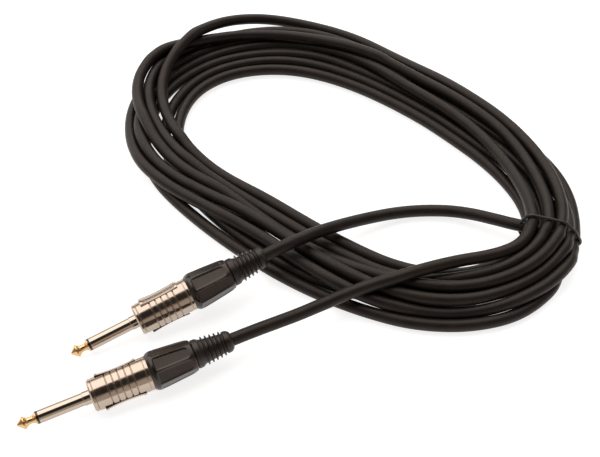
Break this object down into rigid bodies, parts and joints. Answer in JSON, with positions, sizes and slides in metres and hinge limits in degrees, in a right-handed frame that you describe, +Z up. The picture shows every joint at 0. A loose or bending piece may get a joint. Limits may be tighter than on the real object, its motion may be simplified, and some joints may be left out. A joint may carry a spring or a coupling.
{
  "type": "instrument cable",
  "caption": "Coiled, screened instrument cable with a straight two-pole 6.35 mm plug at each end, screw-on bushings with ribbed boots, and a round tie around the coil.",
  "frame": {"origin": "on the surface that the cable lies on, under the centre of the box of both plugs and the tie", "axes": "+Z up; +X from the plugs' points towards the tie, along the longest extent of the plugs and the tie"},
  "size_m": [0.2773, 0.291, 0.0239],
  "materials": {
    "nickel_plate": "satin",
    "gold_plate": "polished",
    "black_insulator": "gloss",
    "clear_insulator": "satin",
    "tinned_brass": "satin",
    "core_insulation": "satin",
    "copper_screen": "satin",
    "black_nylon": "matte",
    "black_plastic": "gloss",
    "black_rubber": "satin",
    "cable_jacket": "matte",
    "tie_band": "satin"
  },
  "bodies": {
    "cable": {"tip_a": "gold_plate", "tip_ring_a": "black_insulator", "sleeve_a": "nickel_plate", "rod_tube_a": "clear_insulator", "insulator_a": "clear_insulator", "ground_lug_a": "tinned_brass", "tip_lug_a": "tinned_brass", "core_a": "core_insulation", "screen_a": "copper_screen", "liner_a": "clear_insulator", "shell_a": "nickel_plate", "chuck_a": "black_nylon", "tip_b": "gold_plate", "tip_ring_b": "black_insulator", "sleeve_b": "nickel_plate", "rod_tube_b": "clear_insulator", "insulator_b": "clear_insulator", "ground_lug_b": "tinned_brass", "tip_lug_b": "tinned_brass", "core_b": "core_insulation", "screen_b": "copper_screen", "liner_b": "clear_insulator", "shell_b": "nickel_plate", "chuck_b": "black_nylon", "lead_a": "cable_jacket", "lead_b": "cable_jacket", "coil": "cable_jacket", "tie": "tie_band"},
    "boot_body_a": {"boot_a": "black_rubber"},
    "bushing_body_a": {"bushing_a": "black_plastic"},
    "boot_body_b": {"boot_b": "black_rubber"},
    "bushing_body_b": {"bushing_b": "black_plastic"}
  },
  "joints": [
    {"name": "boot_slide_a", "type": "slide", "parent": "cable", "child": "boot_body_a", "axis": [0.8793, 0.4538, 0.1444], "range_m": [0, 0.0075]},
    {"name": "bushing_turn_a", "type": "hinge", "parent": "boot_body_a", "child": "bushing_body_a", "pos_m": [-0.05371, 0.01614, 0.01404], "axis": [0.8793, 0.4538, 0.1444], "range_deg": [0, 2700]},
    {"name": "boot_slide_b", "type": "slide", "parent": "cable", "child": "boot_body_b", "axis": [0.9137, 0.403, 0.0523], "range_m": [0, 0.0075]},
    {"name": "bushing_turn_b", "type": "hinge", "parent": "boot_body_b", "child": "bushing_body_b", "pos_m": [-0.06976, -0.02757, 0.01002], "axis": [0.9137, 0.403, 0.0523], "range_deg": [0, 2700]}
  ],
  "couplings": [
    {"joint": "boot_slide_a", "follows": "bushing_turn_a", "m_per_rad": 0.00015915},
    {"joint": "boot_slide_b", "follows": "bushing_turn_b", "m_per_rad": 0.00015915}
  ]
}
